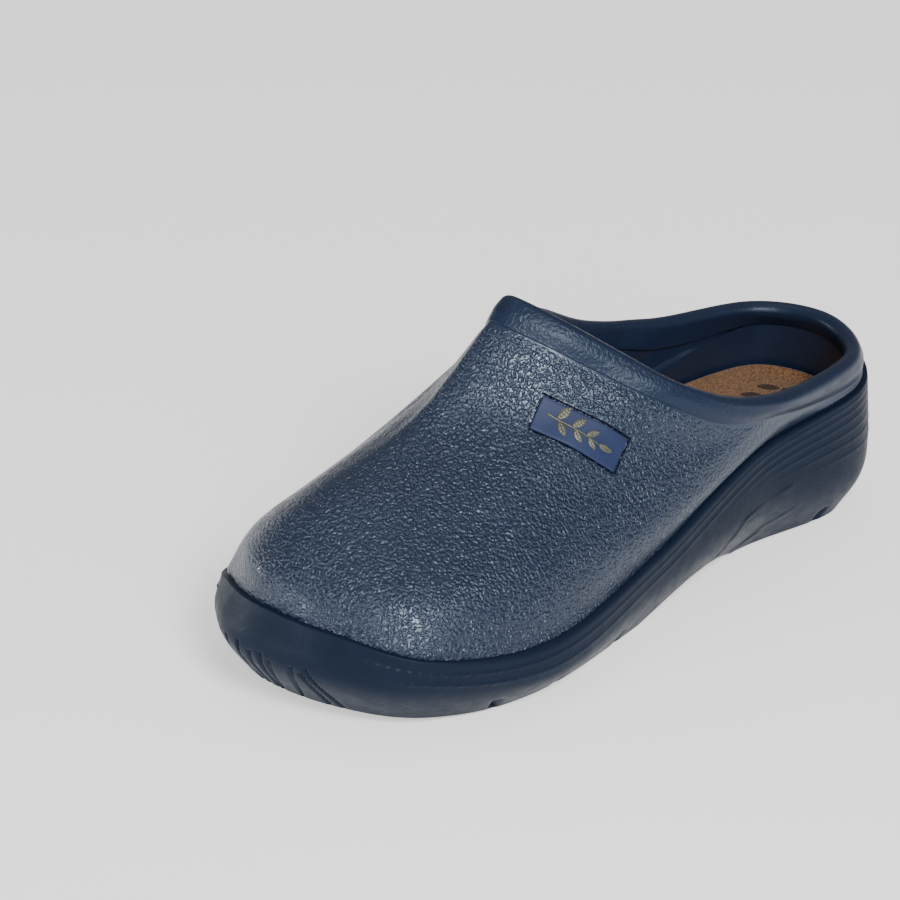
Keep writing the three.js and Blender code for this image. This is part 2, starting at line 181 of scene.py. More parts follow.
def plan_inward(ring):
    """Unit directions that point inwards in plan, one for each point of a ring."""
    along = np.roll(ring, -1, 0) - np.roll(ring, 1, 0)
    inward = np.stack([-along[:, 1], along[:, 0], np.zeros(len(ring))], 1)
    return inward / np.linalg.norm(inward, axis=1)[:, None]


def with_height(ring, z):
    return np.column_stack([ring[:, 0], ring[:, 1], np.broadcast_to(z, len(ring))])


class Last:
    """The rings of the last at one fineness, with the curves that join them."""

    def __init__(self, columns):
        self.columns = columns
        self.at = np.arange(columns) * STATIONS / columns
        self.ground = closed_values([(x, y, 0) for x, y in GROUND], self.at)
        self.ground[:, 2] = ground_height(self.ground[:, 0])
        rings = [closed_values(r, self.at) for r in (BULGE, LIP, SHOULDER, VAMP, INSTEP, RIM)]
        self.bulge, self.lip, self.shoulder, self.vamp, self.instep, self.rim = rings
        self.inward = plan_inward(self.lip)
        foot = self.lip + self.inward * LIP_STEP + (0, 0, GAP)
        self.upper_knots = [foot, self.shoulder, self.vamp, self.instep, self.rim]

    def side(self, t):
        return open_curve([self.ground, self.bulge, self.lip], t)

    def side_at_rise(self, rise):
        """How far up the side curve each column stands a given rise above the ground."""
        low, high = np.zeros(self.columns), np.ones(self.columns)
        for _ in range(30):
            middle = (low + high) / 2
            below = self.side(middle[None])[0, :, 2] < self.ground[:, 2] + rise
            low, high = np.where(below, middle, low), np.where(below, high, middle)
        return high

    def inset(self, distance):
        return self.lip + self.inward * distance

    def upper_grid(self, rows):
        """Rows of points up the upper, evenly spaced, from the lip to the collar's seat."""
        t = np.repeat(np.linspace(0, 1, UPPER_STEPS + 1)[:, None], self.columns, 1)
        points = open_curve(self.upper_knots, t)
        steps = np.linalg.norm(np.diff(points, axis=0), axis=2)
        reach = np.concatenate([np.zeros((1, self.columns)), np.cumsum(steps, 0)])
        length = reach[-1]
        tall = soft_minimum(COLLAR_HEIGHT, length - VISIBLE_STRIP, COLLAR_BLEND)
        wanted = np.asarray(rows)[:, None] * (length - tall)[None]
        at = np.stack([np.interp(wanted[:, c], reach[:, c], t[:, c])
                       for c in range(self.columns)], 1)
        return open_curve(self.upper_knots, at), tall


def grid_normals(grid):
    """Outward unit normals of rows of rings."""
    around = np.roll(grid, -1, 1) - np.roll(grid, 1, 1)
    up = np.gradient(grid, axis=0)
    normal = np.cross(around, up)
    return normal / np.linalg.norm(normal, axis=2)[:, :, None]


# Where the last stands in the row frame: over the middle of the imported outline.
def last_origin():
    heights = np.repeat(np.linspace(0, 1, 41)[:, None], SOLE_COLUMNS, 1)
    wall = Last(SOLE_COLUMNS).side(heights).reshape(-1, 3)
    middle = [(cad_box[0][k] + cad_box[1][k]) / 2
              - (wall[:, k].min() + wall[:, k].max()) / 2 * MM for k in (0, 1)]
    return np.array([*middle, 0.0])


ORIGIN = last_origin()


# ---------------------------------------------------------------- mesh helpers
def deselect_all():
    bpy.ops.object.select_all(action="DESELECT")


def make_active(piece):
    deselect_all()
    piece.select_set(True)
    bpy.context.view_layer.objects.active = piece


WELD = 0.000001
TREAD_WELD = 0.000005


def weld(piece, distance=WELD):
    """Joins doubled points and drops the faces that this leaves without area."""
    make_active(piece)
    bpy.ops.object.mode_set(mode="EDIT")
    bpy.ops.mesh.select_all(action="SELECT")
    bpy.ops.mesh.remove_doubles(threshold=distance)
    bpy.ops.mesh.dissolve_degenerate(threshold=distance / 4)
    bpy.ops.object.mode_set(mode="OBJECT")


def outward(piece):
    """Turns every face of a closed piece outwards."""
    make_active(piece)
    bpy.ops.object.mode_set(mode="EDIT")
    bpy.ops.mesh.select_all(action="SELECT")
    bpy.ops.mesh.normals_make_consistent(inside=False)
    bpy.ops.object.mode_set(mode="OBJECT")


def wrap_grid(name, rings, closed_up=False, grain=None):
    """A grid primitive wrapped on rings of points, its seam welded.

    grain, one value per row and column, is how strong the moulded grain is at each point."""
    rings = np.asarray(rings)
    if closed_up:
        rings = np.concatenate([rings, rings[:1]])
    rings = np.concatenate([rings, rings[:, :1]], 1)
    rows, columns = rings.shape[:2]
    deselect_all()
    bpy.ops.mesh.primitive_grid_add(x_subdivisions=columns - 1, y_subdivisions=rows - 1, size=1)
    piece = bpy.context.object
    piece.name = name
    piece.data.name = name
    co = np.zeros(len(piece.data.vertices) * 3)
    piece.data.vertices.foreach_get("co", co)
    co = co.reshape(-1, 3)
    column = np.rint((co[:, 0] + 0.5) * (columns - 1)).astype(int)
    row = np.rint((co[:, 1] + 0.5) * (rows - 1)).astype(int)
    placed = rings[row, column] * MM + ORIGIN
    piece.data.vertices.foreach_set("co", placed.ravel())
    if grain is not None:
        kept = piece.data.attributes.new("grain", "FLOAT", "POINT")
        kept.data.foreach_set("value", grain[row % len(grain), column % grain.shape[1]])
    weld(piece)
    return piece


def fill_openings(piece):
    """Closes each open edge loop of a shell with a flat cap."""
    make_active(piece)
    bpy.ops.object.mode_set(mode="EDIT")
    bpy.ops.mesh.select_all(action="DESELECT")
    bpy.ops.mesh.select_mode(type="EDGE")
    bpy.ops.mesh.select_non_manifold()
    bpy.ops.mesh.edge_face_add()
    bpy.ops.mesh.select_mode(type="VERT")
    bpy.ops.object.mode_set(mode="OBJECT")


def apply_modifier(piece, kind, **settings):
    """Adds one modifier with its settings and applies it at once."""
    make_active(piece)
    modifier = piece.modifiers.new(kind.title(), kind)
    for key, value in settings.items():
        setattr(modifier, key, value)
    bpy.ops.object.modifier_apply(modifier=modifier.name)


def soften(piece, degrees=50):
    """Shades a piece smooth, apart from edges sharper than the angle."""
    make_active(piece)
    bpy.ops.object.shade_smooth_by_angle(angle=math.radians(degrees))


# ---------------------------------------------------------------- the sole
SIDE_STEPS = 240
PLAIN_ROWS = 20
LIP_ROWS = 5
# The lip's rounding: sharp at the toe, wide at the sides and less so round the heel.
SOLE_ROUND_TOE = 0.4
SOLE_ROUND_SIDE = 2.0
HEEL_ROUND_LESS = 0.75
FOOT_ROUND = 0.6
# Depth of each moulded ridge below the lip, from the toe tip back to the middle of the heel.
RIDGE_STATIONS = [0, 1.5, 3, 4, 5, 6, 7]
RIDGE_DEPTHS = [[4.6, 4.6, 4.6, 4.2, 3.2, 2.4, 2.4],
                [8.6, 8.6, 8.6, 7.6, 6.0, 5.4, 5.4],
                [12.2, 12.2, 12.2, 10.8, 8.8, 8.9, 8.9],
                [15.2, 15.2, 15.2, 13.8, 11.8, 12.9, 12.9],
                [18, 18, 18, 16.8, 15, 17.4, 17.4],
                [20.4, 20.4, 20.4, 19.6, 18.4, 22.4, 22.4]]
# Where each ridge begins to rise, in stations back from the toe, and how quickly.
RIDGE_STARTS = [1.15, 1.4, 4.6, 4.85, 5.05, 5.3]
RIDGE_FADE = 0.5
RIDGE_PROFILE = [(-1.0, 0), (-0.65, 0.25), (-0.33, 0.8), (0, 1), (0.33, 0.8), (0.65, 0.25),
                 (1.0, 0)]
RIDGE_RISE = 0.17
RIDGE_MARGIN = 1.5
# The two upper ridges are broken into dashes at the toe, up to these stations.
DASH_RISE = 0.5
DASHES_END = [2.45, 2.6]
DASH_FADE = 0.35
DASH_PITCH = 3.9
DASH_STAGGER = 0.35
# Cuts in the side: the station and height of their top and foot, how deep and how wide.
TOE_CUTS = [(-1.12, 15.0, -1.10, -2), (-0.86, 16.5, -0.86, -2), (-0.62, 17.5, -0.60, -2),
            (-0.38, 18.5, -0.30, -2), (-0.10, 20.0, -0.03, -2), (0.12, 18.5, 0.10, -2),
            (0.26, 19.4, 0.25, -2), (0.37, 18.0, 0.33, -2), (0.62, 19.0, 0.60, -2),
            (0.72, 17.8, 0.98, -2), (0.77, 19.8, 1.16, -2)]
TOE_CUT_DEPTH = 1.0
TOE_CUT_WIDTH = 0.85
TREAD_CUTS = [(2.60, 8.2), (3.15, 10.0), (3.73, 8.2), (5.72, 7.2)]
TREAD_CUT_DEPTH = 1.7
TREAD_CUT_WIDTH = 1.9
# Two raised creases that sweep up from the waist: station and height along each.
CREASES = [[(4.66, 1), (4.72, 10), (4.82, 19.6), (5.0, 26), (5.22, 28)],
           [(4.98, 1), (5.06, 5.5), (5.15, 11.9), (5.32, 15)]]
CREASE_RISE = 0.45
CREASE_WIDTH = 1.1


def half_station(at):
    """Stations counted back from the toe tip, the same on both sides of the foot."""
    return np.minimum(at, STATIONS - at)


def segment_distance(u, v, start, end):
    """Distance of each point (u, v) from a segment."""
    du, dv = end[0] - start[0], end[1] - start[1]
    t = np.clip(((u - start[0]) * du + (v - start[1]) * dv) / (du * du + dv * dv), 0, 1)
    return np.hypot(u - start[0] - t * du, v - start[1] - t * dv)


def across_rows(edge, height, steps):
    """Rows that run in from an edge ring to the line midway between the foot's two sides."""
    count = len(edge)
    mate = edge[(count - np.arange(count)) % count]
    spine = (edge + mate) / 2
    rows = []
    for k in range(1, steps + 1):
        t = k / steps
        row = edge + (spine - edge) * t
        row[:, 2] = height(row[:, 0], 1 - t)
        rows.append(row)
    # the two ends of the foot are single points, which keep their own height
    for row in rows:
        for end in (0, count // 2):
            row[end] = edge[end]
    return rows


def lip_round(half):
    """Radius of the lip's rounding at each station."""
    toe = smooth_step((half - 1.4) / 1.4)
    heel = smooth_step((half - 4.8) / 1.0)
    wider = (SOLE_ROUND_SIDE - SOLE_ROUND_TOE) * toe * (1 - HEEL_ROUND_LESS * heel)
    return SOLE_ROUND_TOE + wider


def make_sole():
    """The moulded cup: its side with ridges, cuts and creases, its lip, floor and underside."""
    last = Last(SOLE_COLUMNS)
    half = half_station(last.at)
    x = last.ground[:, 0]
    rise = TREAD_PROUD + shank_rise(x)
    foot_t = last.side_at_rise(rise)
    t = foot_t + (1 - foot_t) * np.linspace(0, 1, SIDE_STEPS + 1)[:, None]
    curve = last.side(t)
    steps = np.linalg.norm(np.diff(curve, axis=0), axis=2)
    depth = np.concatenate([np.cumsum(steps[::-1], 0)[::-1], np.zeros((1, last.columns))])
    total = depth[0]

    tracks = [np.interp(half, RIDGE_STATIONS, d) for d in RIDGE_DEPTHS]
    deepest = np.minimum(tracks[-1] + RIDGE_MARGIN, total - RIDGE_MARGIN)
    squeeze = deepest / (tracks[-1] + RIDGE_MARGIN)
    wanted = [total - FOOT_ROUND - (total - FOOT_ROUND - deepest) * k / PLAIN_ROWS
              for k in range(PLAIN_ROWS)]
    lifts = [np.zeros(last.columns)] * PLAIN_ROWS
    lip_arc = np.cumsum(np.linalg.norm(np.roll(last.lip, -1, 0) - last.lip, axis=1))
    lip_arc = np.minimum(lip_arc, lip_arc[-1] - lip_arc)
    for k in range(len(tracks) - 1, -1, -1):
        strength = smooth_step((half - RIDGE_STARTS[k]) / RIDGE_FADE)
        if k < len(DASHES_END):
            wave = np.sin(2 * math.pi * (lip_arc / DASH_PITCH + DASH_STAGGER * k))
            dash = smooth_step(wave * 1.6 + 0.55)
            solid = smooth_step((half - DASHES_END[k]) / DASH_FADE)
            strength = strength * (dash * DASH_RISE / RIDGE_RISE * (1 - solid) + solid)
        for offset, share in RIDGE_PROFILE[::-1]:
            wanted.append((tracks[k] + offset) * squeeze)
            lifts.append(strength * share * RIDGE_RISE)
    radius = lip_round(half)
    top_track = wanted[-1]
    for k in range(1, LIP_ROWS + 1):
        wanted.append(top_track + (radius - top_track) * k / LIP_ROWS)
        lifts.append(np.zeros(last.columns))
    wanted, lifts = np.array(wanted), np.array(lifts)

    at = np.stack([np.interp(-wanted[:, c], -depth[:, c], t[:, c])
                   for c in range(last.columns)], 1)
    side = last.side(at)
    height = wanted.max(0) - wanted
    arc = np.cumsum(np.linalg.norm(np.roll(last.ground, -1, 0) - last.ground, axis=1))
    arc -= arc[0]
    arc = np.where(arc > arc[-1] / 2, arc - arc[-1], arc)
    station = np.where(last.at > STATIONS / 2, last.at - STATIONS, last.at)
    order = np.argsort(station)

    def along(at):
        """Distance round the ground edge, from the toe tip, of a station."""
        return np.interp(at, station[order], arc[order])

    for top, tall, low, base in TOE_CUTS:
        away = segment_distance(arc[None], height, (along(low), base), (along(top), tall))
        lifts = lifts - TOE_CUT_DEPTH * (1 - smooth_step(away / TOE_CUT_WIDTH))
    for at, tall in TREAD_CUTS:
        for hand in (-1, 1):
            away = segment_distance(arc[None], height, (along(hand * at), -4),
                                    (along(hand * at), tall - TREAD_CUT_WIDTH))
            lifts = lifts - TREAD_CUT_DEPTH * (1 - smooth_step(away / TREAD_CUT_WIDTH * 1.2 - 0.2))
    for crease in CREASES:
        for hand in (-1, 1):
            spots = [(along(hand * s), h) for s, h in crease]
            away = np.min([segment_distance(arc[None], height, first, second)
                           for first, second in zip(spots, spots[1:])], axis=0)
            lifts = lifts + CREASE_RISE * (1 - smooth_step(away / CREASE_WIDTH))
    side = side + grid_normals(side) * lifts[..., None]

    foot = last.side(foot_t[None])[0]
    foot_inward = plan_inward(foot)
    skirt = foot + foot_inward * SKIRT_WIDTH

    def ceiling_height(x, across):
        up = np.maximum(TREAD_THICKNESS, shank_rise(x) + TREAD_PROUD + SHANK_RECESS)
        return ground_height(x) + up + 0 * across

    ceiling = with_height(skirt, ceiling_height(skirt[:, 0], 1))
    rings = across_rows(ceiling, ceiling_height, 10)[::-1]
    rings += [ceiling, (ceiling + skirt) / 2, skirt, skirt + (foot - skirt) * 0.5]
    inner_foot = foot + foot_inward * FOOT_ROUND
    for k in range(4):
        s = k / 4
        rings.append((1 - s)**2 * inner_foot + 2 * s * (1 - s) * foot + s * s * side[0])
    rings += list(side)
    top = last.lip + last.inward * radius[:, None]
    for k in range(1, 5):
        s = k / 4
        rings.append((1 - s)**2 * side[-1] + 2 * s * (1 - s) * last.lip + s * s * top)
    inner = last.inset(RIM_WALL)
    floor = with_height(inner, floor_height(inner[:, 0], 1))
    rings += [inner, (inner + floor) / 2, floor]
    rings += across_rows(floor, floor_height, 8)
    piece = wrap_grid("sole_body", rings)
    outward(piece)
    soften(piece)
    return piece


# ---------------------------------------------------------------- the upper
UPPER_LINES = 81
INNER_LINES = 26
TUCK_ROWS = 6
FOOT_DIP = 0.2
# Dips in the upper beside the lip and the collar, with how far each reaches.
SIDE_VALLEY = 0.9
SIDE_VALLEY_REACH = 4.5
TOE_GROOVE = 0.7
TOE_GROOVE_REACH = 0.8
COLLAR_VALLEY = 0.35
COLLAR_VALLEY_REACH = 2.5
# The grain fades between these stations, and in a strip below the collar.
GRAIN_FADE = (4.0, 5.3)
GRAIN_LOST = 0.85
GRAIN_STRIP = 3


class Seat:
    """The collar's seat on the upper: a base, an up and an out direction per column."""

    def __init__(self, last, lines):
        self.rows, self.tall = last.upper_grid(np.linspace(0, 1, lines + 1))
        self.normals = grid_normals(self.rows)
        base = self.rows[-1]
        up = last.rim - base
        self.reach = np.linalg.norm(up, axis=1)
        self.up = up / self.reach[:, None]
        out = self.normals[-1]
        out = out - self.up * (out * self.up).sum(1)[:, None]
        self.out = out / np.linalg.norm(out, axis=1)[:, None]
        self.normals[-1] = self.out
        self.base = base

    def under(self, points):
        """Lowers points that would stand above the seat."""
        above = ((points - self.base) * self.up).sum(-1)
        return points - self.up * np.maximum(0, above)[..., None]


def make_upper():
    """The grained shell of the vamp and sides, with the tuck that stands inside the cup."""
    last = Last(UPPER_COLUMNS)
    half = half_station(last.at)
    seat = Seat(last, UPPER_LINES)
    outer = seat.rows.copy()
    lengths = np.linalg.norm(np.diff(outer, axis=0), axis=2)
    above = np.concatenate([np.zeros((1, last.columns)), np.cumsum(lengths, 0)])
    side = smooth_step((half - 1.8) / 1.4) * (1 - smooth_step((half - 5.0) / 0.8))
    valley = SIDE_VALLEY * side * np.exp(-(above / SIDE_VALLEY_REACH)**2)
    valley += TOE_GROOVE * (1 - side) * np.exp(-(above / TOE_GROOVE_REACH)**2)
    below = above[-1] - above
    valley += COLLAR_VALLEY * np.exp(-(below / COLLAR_VALLEY_REACH)**2)
    outer = outer - seat.normals * valley[..., None]
    outer[0, :, 2] -= FOOT_DIP
    keep = np.rint(np.linspace(1, UPPER_LINES, INNER_LINES)).astype(int)
    inner = seat.under(seat.rows[keep] - seat.normals[keep] * UPPER_WALL)[::-1]
    tuck_outer = last.inset(RIM_WALL + GAP) + (0, 0, GAP)
    tuck_inner = seat.under(last.inset(RIM_WALL + GAP + TUCK_WALL))
    down = [with_height(r, floor_height(r[:, 0], 1) + GAP) for r in (tuck_inner, tuck_outer)]
    wall = [tuck_inner + (down[0] - tuck_inner) * k / TUCK_ROWS for k in range(TUCK_ROWS)]
    rings = [*outer, *inner, *wall, *down, tuck_outer]
    start, end = GRAIN_FADE
    strength = 1 - GRAIN_LOST * smooth_step((half - start) / (end - start))
    smooth_top = smooth_step(below / GRAIN_STRIP)
    grain = np.zeros((len(rings), last.columns))
    grain[:len(outer)] = strength * smooth_top
    piece = wrap_grid("upper_shell", rings, closed_up=True, grain=grain)
    outward(piece)
    soften(piece)
    return piece


# ---------------------------------------------------------------- the collar
# How far the band's foot stands proud of the upper: less at the heel, least on the outer side.
COLLAR_FOOT = 0.1
COLLAR_FOOT_FADE = (4.2, 0.8)
INNER_FOOT_FADE = 0.6
COLLAR_CORNER = 0.4
COLLAR_SWELL = 0.3
SEAT_GAP = 0.04
CORNER_ROWS = 5
BAND_ROWS = 8
ROLL_ROWS = 16
INSIDE_ROWS = 6
COLLAR_GRAIN = 0.22
COLLAR_GRAIN_FADE = (3.6, 1.2)


def make_collar():
    """The rolled band that caps the upper's edge round the throat and the heel."""
    last = Last(UPPER_COLUMNS)
    half = half_station(last.at)
    seat = Seat(last, UPPER_LINES)
    tall = np.minimum(seat.tall, seat.reach)
    flat = np.zeros_like(tall)
    start, reach = COLLAR_FOOT_FADE
    fade = smooth_step((half - start) / reach)
    outer_side = last.at < STATIONS / 2
    foot_proud = COLLAR_FOOT * (1 - fade * np.where(outer_side, 1, INNER_FOOT_FADE))
    inner = COLLAR_PROUD - COLLAR_WALL
    radius = COLLAR_WALL / 2
    straight = tall - radius - COLLAR_CORNER
    rounded = [math.pi / 2 * k / (CORNER_ROWS - 1) for k in range(CORNER_ROWS)]
    # pairs of a height above the seat and a distance out from it, round the band's section
    rows = [(SEAT_GAP + COLLAR_CORNER * (1 - math.cos(a)) + flat,
             foot_proud - COLLAR_CORNER * (1 - math.sin(a))) for a in rounded]
    for k in range(1, BAND_ROWS):
        s = k / BAND_ROWS
        swell = foot_proud + (COLLAR_PROUD - foot_proud) * smooth_step(s * 1.5)
        rows.append((COLLAR_CORNER + straight * s, swell + COLLAR_SWELL * math.sin(math.pi * s)))
    for k in range(ROLL_ROWS + 1):
        a = math.pi * k / ROLL_ROWS
        rows.append((tall - radius + radius * math.sin(a),
                     COLLAR_PROUD - radius + radius * math.cos(a) + flat))
    for k in range(1, INSIDE_ROWS):
        rows.append((COLLAR_CORNER + straight * (1 - k / INSIDE_ROWS), inner + flat))
    rows += [(SEAT_GAP + COLLAR_CORNER * (1 - math.cos(a)) + flat,
              inner + COLLAR_CORNER * (1 - math.sin(a)) + flat) for a in rounded[::-1]]
    rings = [seat.base + seat.up * s[:, None] + seat.out * o[:, None] for s, o in rows]
    start, reach = COLLAR_GRAIN_FADE
    grain = np.tile(COLLAR_GRAIN * (1 - smooth_step((half - start) / reach)), (len(rings), 1))
    piece = wrap_grid("collar_band", rings, closed_up=True, grain=grain)
    outward(piece)
    soften(piece)
    return piece


# ---------------------------------------------------------------- the footbed
FOOTBED_COLUMNS = 280
PAD_ROUND = 0.4
COVER_ROUND = 1.1


def make_footbed(name, low, high, edge_round):
    """A layer that follows the cup's floor, low to high above it, with a rounded upper edge."""
    last = Last(FOOTBED_COLUMNS)
    edge = last.inset(RIM_WALL + GAP + TUCK_WALL + FOOTBED_CLEARANCE)
    inward = plan_inward(edge)

    def ring(inset, rise):
        at = edge + inward * inset
        return with_height(at, floor_height(at[:, 0], 1) + rise)

    def top(along, across):
        return floor_height(along, across) + high

    def bottom(along, across):
        return floor_height(along, across) + low

    rounded = [(edge_round * (1 - math.sin(a)), high - edge_round * (1 - math.cos(a)))
               for a in np.linspace(math.pi / 2, 0, 6)]
    edge_rings = [ring(0, low), *[ring(i, r) for i, r in rounded]]
    rings = across_rows(edge_rings[0], bottom, 14)[::-1] + edge_rings
    rings += across_rows(edge_rings[-1], top, 22)
    piece = wrap_grid(name, rings)
    outward(piece)
    soften(piece)
    return piece


# ---------------------------------------------------------------- the badge
BADGE_LENGTH = 32.5
BADGE_WIDTH = 12.5
BADGE_THICKNESS = 1.2
BADGE_AROUND = 2.75
BADGE_UP = 62 / 81
BADGE_TURN = -20.5
BADGE_SUNK = 1.0
BADGE_BEVEL = 0.35
RECESS_MARGIN = 0.9
RECESS_DEPTH = 1.6
RECESS_TOP = 4
DROP_HEIGHT = 60


def drop_on(tree, point, out, rise):
    """Where a point, sent in against a direction, meets a surface, and a rise above that."""
    start = point + out * DROP_HEIGHT
    hit = tree.ray_cast(Vector(start * MM + ORIGIN), Vector(-out))[0]
    return (np.array(hit) - ORIGIN) / MM + out * rise


class BadgeSpot:
    """A patch of the vamp: p runs along it, q up it and rise stands off it, all in mm."""

    def __init__(self, upper):
        last = Last(UPPER_COLUMNS)
        seat = Seat(last, UPPER_LINES)
        column = round(BADGE_AROUND * UPPER_COLUMNS / STATIONS)
        row = round(BADGE_UP * UPPER_LINES)
        self.base = seat.rows[row, column]
        self.out = seat.normals[row, column]
        along = seat.rows[row, column + 1] - seat.rows[row, column - 1]
        along -= self.out * np.dot(along, self.out)
        along /= np.linalg.norm(along)
        across = np.cross(self.out, along)
        turn = math.radians(BADGE_TURN)
        self.along = along * math.cos(turn) + across * math.sin(turn)
        self.up = np.cross(self.out, self.along)
        self.tree = BVHTree.FromObject(upper, bpy.context.evaluated_depsgraph_get())

    def place(self, p, q, rise):
        return drop_on(self.tree, self.base + self.along * p + self.up * q, self.out, rise)


class HeelSpot:
    """A patch of the footbed's cover at the heel, with the same p, q and rise."""

    def __init__(self, cover):
        self.base = np.array(PRINT_PLACE)
        self.out = np.array([0.0, 0.0, 1.0])
        self.tree = BVHTree.FromObject(cover, bpy.context.evaluated_depsgraph_get())

    def place(self, p, q, rise):
        return drop_on(self.tree, self.base + (p, q, 0), self.out, rise)


def bent_slab(name, spot, length, width, low, high, bevel):
    """A rectangular slab bent to the vamp, with bevelled edges."""
    deselect_all()
    bpy.ops.mesh.primitive_grid_add(x_subdivisions=26, y_subdivisions=10, size=1)
    piece = bpy.context.object
    piece.name = name
    piece.data.name = name
    bpy.ops.object.mode_set(mode="EDIT")
    bpy.ops.mesh.select_all(action="SELECT")
    bpy.ops.transform.resize(value=(length, width, 1))
    bpy.ops.transform.translate(value=(0, 0, low))
    bpy.ops.mesh.extrude_region_move(TRANSFORM_OT_translate={"value": (0, 0, high - low)})
    bpy.ops.object.mode_set(mode="OBJECT")
    if bevel:
        apply_modifier(piece, "BEVEL", width=bevel, segments=3, limit_method="ANGLE",
                       angle_limit=math.radians(50))
    for vertex in piece.data.vertices:
        vertex.co = spot.place(*vertex.co) * MM + ORIGIN
    outward(piece)
    soften(piece, 45)
    return piece


# Leaves of the sprig: where each starts, which way it points, its length and its width.
SPRIG = [(-9.0, 0.6, 62, 6.4, 3.0), (-8.2, 0.2, -48, 5.6, 2.6), (-3.4, 0.3, 50, 5.6, 2.6),
         (-2.4, 0.0, -42, 5.2, 2.4), (2.2, -0.2, 40, 5.0, 2.2), (3.2, -0.5, -36, 4.6, 2.0),
         (7.2, -0.9, 2, 5.6, 2.2)]
STEM = [(-12.5, 1.0), (-9, 0.5), (-3, 0.2), (3, -0.4), (8.0, -0.9)]
EMBLEM_RISE = 0.55
PRINT_RISE = 0.1
PRINT_SIZE = 1.5
PRINT_PLACE = (36.0, -4.0, 40.0)
LEAF_STEPS = 20
LEAF_POINTS = 12
LEAF_TIP = 0.02
LEAF_DOME = 0.45
RIB_DEPTH = 0.4
RIB_REACH = 0.22
VEIN_DEPTH = 0.15
VEINS = 5.5
VEIN_SLANT = 0.55
LEAF_SUNK = 0.3
STEM_HALF = 0.42
STEM_STEPS = 24


def leaf_rings(spot, p, q, turn, length, width, floor, rise):
    """Section loops of one domed leaf with a midrib groove and side veins."""
    cos, sin = math.cos(math.radians(turn)), math.sin(math.radians(turn))
    rings = []
    for i in range(LEAF_STEPS + 1):
        u = i / LEAF_STEPS
        half = width / 2 * math.sin(math.pi * min(1, u * 0.97 + 0.015)) ** 0.75
        if i in (0, LEAF_STEPS):
            half = LEAF_TIP
        loop = []
        for j in range(LEAF_POINTS + 1):
            v = 1 - 2 * j / LEAF_POINTS
            rib = RIB_DEPTH * math.exp(-(v * half / RIB_REACH)**2)
            vein = VEIN_DEPTH * math.cos(2 * math.pi * (u * VEINS - VEIN_SLANT * abs(v)))
            top = floor + rise * (1 - LEAF_DOME * v * v - rib + vein * (1 - v * v))
            loop.append((u * length, v * half, top))
        loop += [(u * length, half * v, floor - LEAF_SUNK) for v in (-1, -0.3, 0.3, 1)]
        rings.append([spot.place(p + a * cos - b * sin, q + a * sin + b * cos, c)
                      for a, b, c in loop])
    return rings


def make_sprig(name, spot, floor, rise, size):
    """A leafy sprig laid on a surface, its leaves and stem joined in one piece."""
    parts = []
    for p, q, turn, length, width in SPRIG:
        rings = leaf_rings(spot, p * size, q * size, turn, length * size, width * size,
                           floor, rise)
        parts.append(wrap_grid("leaf", rings))
    stem_p = [s[0] * size for s in STEM]
    stem_q = [s[1] * size for s in STEM]
    rings = []
    for k in range(STEM_STEPS + 1):
        p = stem_p[0] + (stem_p[-1] - stem_p[0]) * k / STEM_STEPS
        q = float(np.interp(p, stem_p, stem_q))
        wide = STEM_HALF * size * (1 - 0.5 * k / STEM_STEPS)
        rings.append([spot.place(p, q + wide * math.cos(a),
                                 floor - 0.1 + rise * 0.9 * math.sin(a))
                      for a in np.linspace(0, 2 * math.pi, 11)[:-1]])
    stem = wrap_grid(name, rings)
    for part in (*parts, stem):
        fill_openings(part)
        outward(part)
    deselect_all()
    for part in parts:
        part.select_set(True)
    stem.select_set(True)
    bpy.context.view_layer.objects.active = stem
    bpy.ops.object.join()
    soften(stem, 55)
    return stem


# ---------------------------------------------------------------- the treads
FLAT_WITHIN = 0.5
TREAD_EDGE = 0.4


def make_tread(name, node):
    """A copy of a packed tread with its loose triangles joined and its edges broken."""
    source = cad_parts[node]
    piece = source.copy()
    piece.data = source.data.copy()
    piece.name = name
    piece.data.name = name
    bpy.context.scene.collection.objects.link(piece)
    weld(piece, TREAD_WELD)
    bpy.ops.object.mode_set(mode="EDIT")
    bpy.ops.mesh.select_all(action="SELECT")
    bpy.ops.mesh.dissolve_limited(angle_limit=math.radians(FLAT_WITHIN))
    bpy.ops.object.mode_set(mode="OBJECT")
    apply_modifier(piece, "BEVEL", width=TREAD_EDGE * MM, segments=2, limit_method="ANGLE",
                   angle_limit=math.radians(50))
    soften(piece, 35)
    return piece


# ---------------------------------------------------------------- finishes
def start_material(name, colour, roughness):
    """A principled material with no other nodes yet."""
    made = bpy.data.materials.new(name)
    made.use_nodes = True
    shader = made.node_tree.nodes["Principled BSDF"]
    shader.inputs["Base Color"].default_value = (*colour, 1)
    shader.inputs["Roughness"].default_value = roughness
    return made, made.node_tree.nodes, made.node_tree.links, shader


def noise(nodes, links, place, scale, detail=2, distortion=0, roughness=0.5):
    made = nodes.new("ShaderNodeTexNoise")
    made.inputs["Scale"].default_value = scale
    made.inputs["Detail"].default_value = detail
    made.inputs["Distortion"].default_value = distortion
    made.inputs["Roughness"].default_value = roughness
    links.new(place, made.inputs["Vector"])
    return made.outputs["Fac"]


def spread(nodes, links, value, low, high, to_low, to_high):
    """Maps a band of a value to a new one, with an eased start and end."""
    made = nodes.new("ShaderNodeMapRange")
    made.inputs["From Min"].default_value = low
    made.inputs["From Max"].default_value = high
    made.inputs["To Min"].default_value = to_low
    made.inputs["To Max"].default_value = to_high
    made.interpolation_type = "SMOOTHSTEP"
    links.new(value, made.inputs["Value"])
    return made.outputs["Result"]


